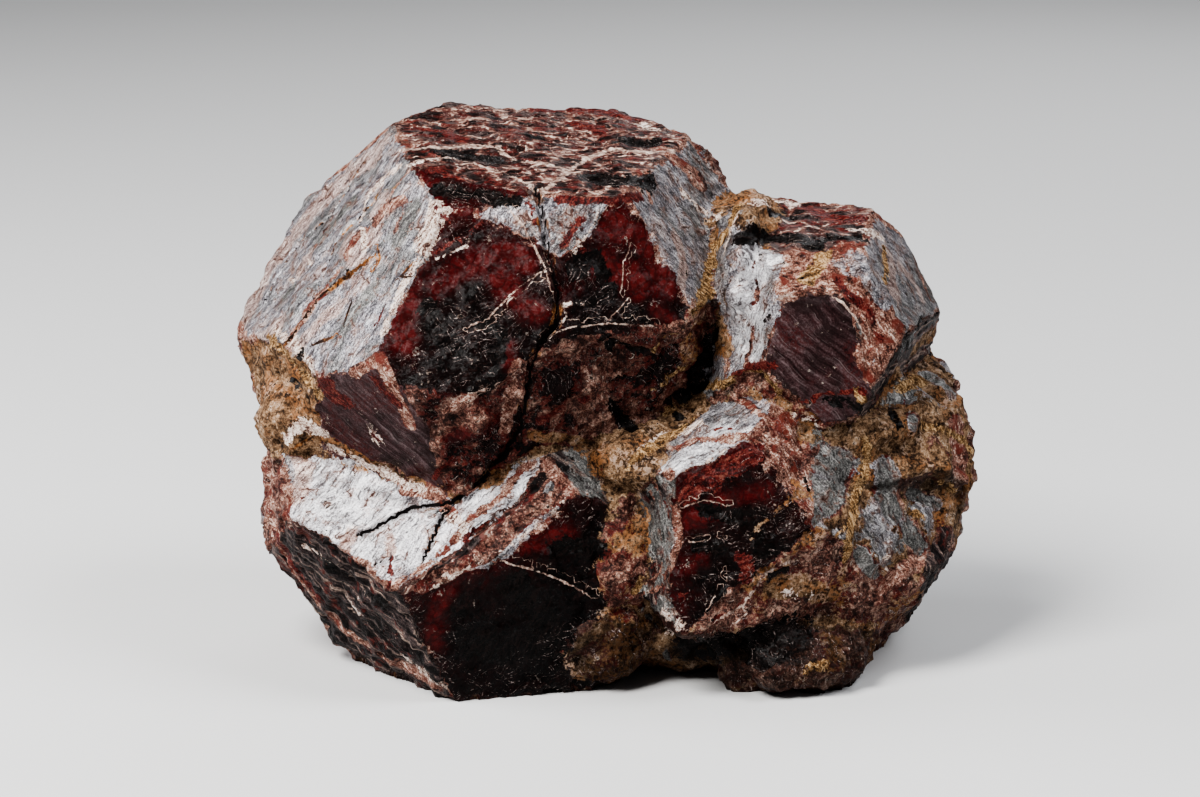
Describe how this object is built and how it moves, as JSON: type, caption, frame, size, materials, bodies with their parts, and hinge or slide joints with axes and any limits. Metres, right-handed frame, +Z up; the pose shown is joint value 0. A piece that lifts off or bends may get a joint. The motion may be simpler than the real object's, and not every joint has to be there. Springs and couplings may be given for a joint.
{
  "type": "garnet crystal cluster",
  "caption": "Free-standing cluster of intergrown dark red garnets with flat facets, worn edges, cracks and tan mica matrix in the seams.",
  "frame": {"origin": "middle of the bounding box's base, on the surface that the cluster stands on", "axes": "+X to the right along the longest extent, -Y towards the viewer, +Z up"},
  "size_m": [0.0512, 0.0322, 0.0368],
  "materials": {
    "garnet": "dark red garnet with silvery mica film, vitreous on the broken faces"
  },
  "bodies": {
    "root": {"garnet_cluster": "garnet"}
  },
  "joints": []
}
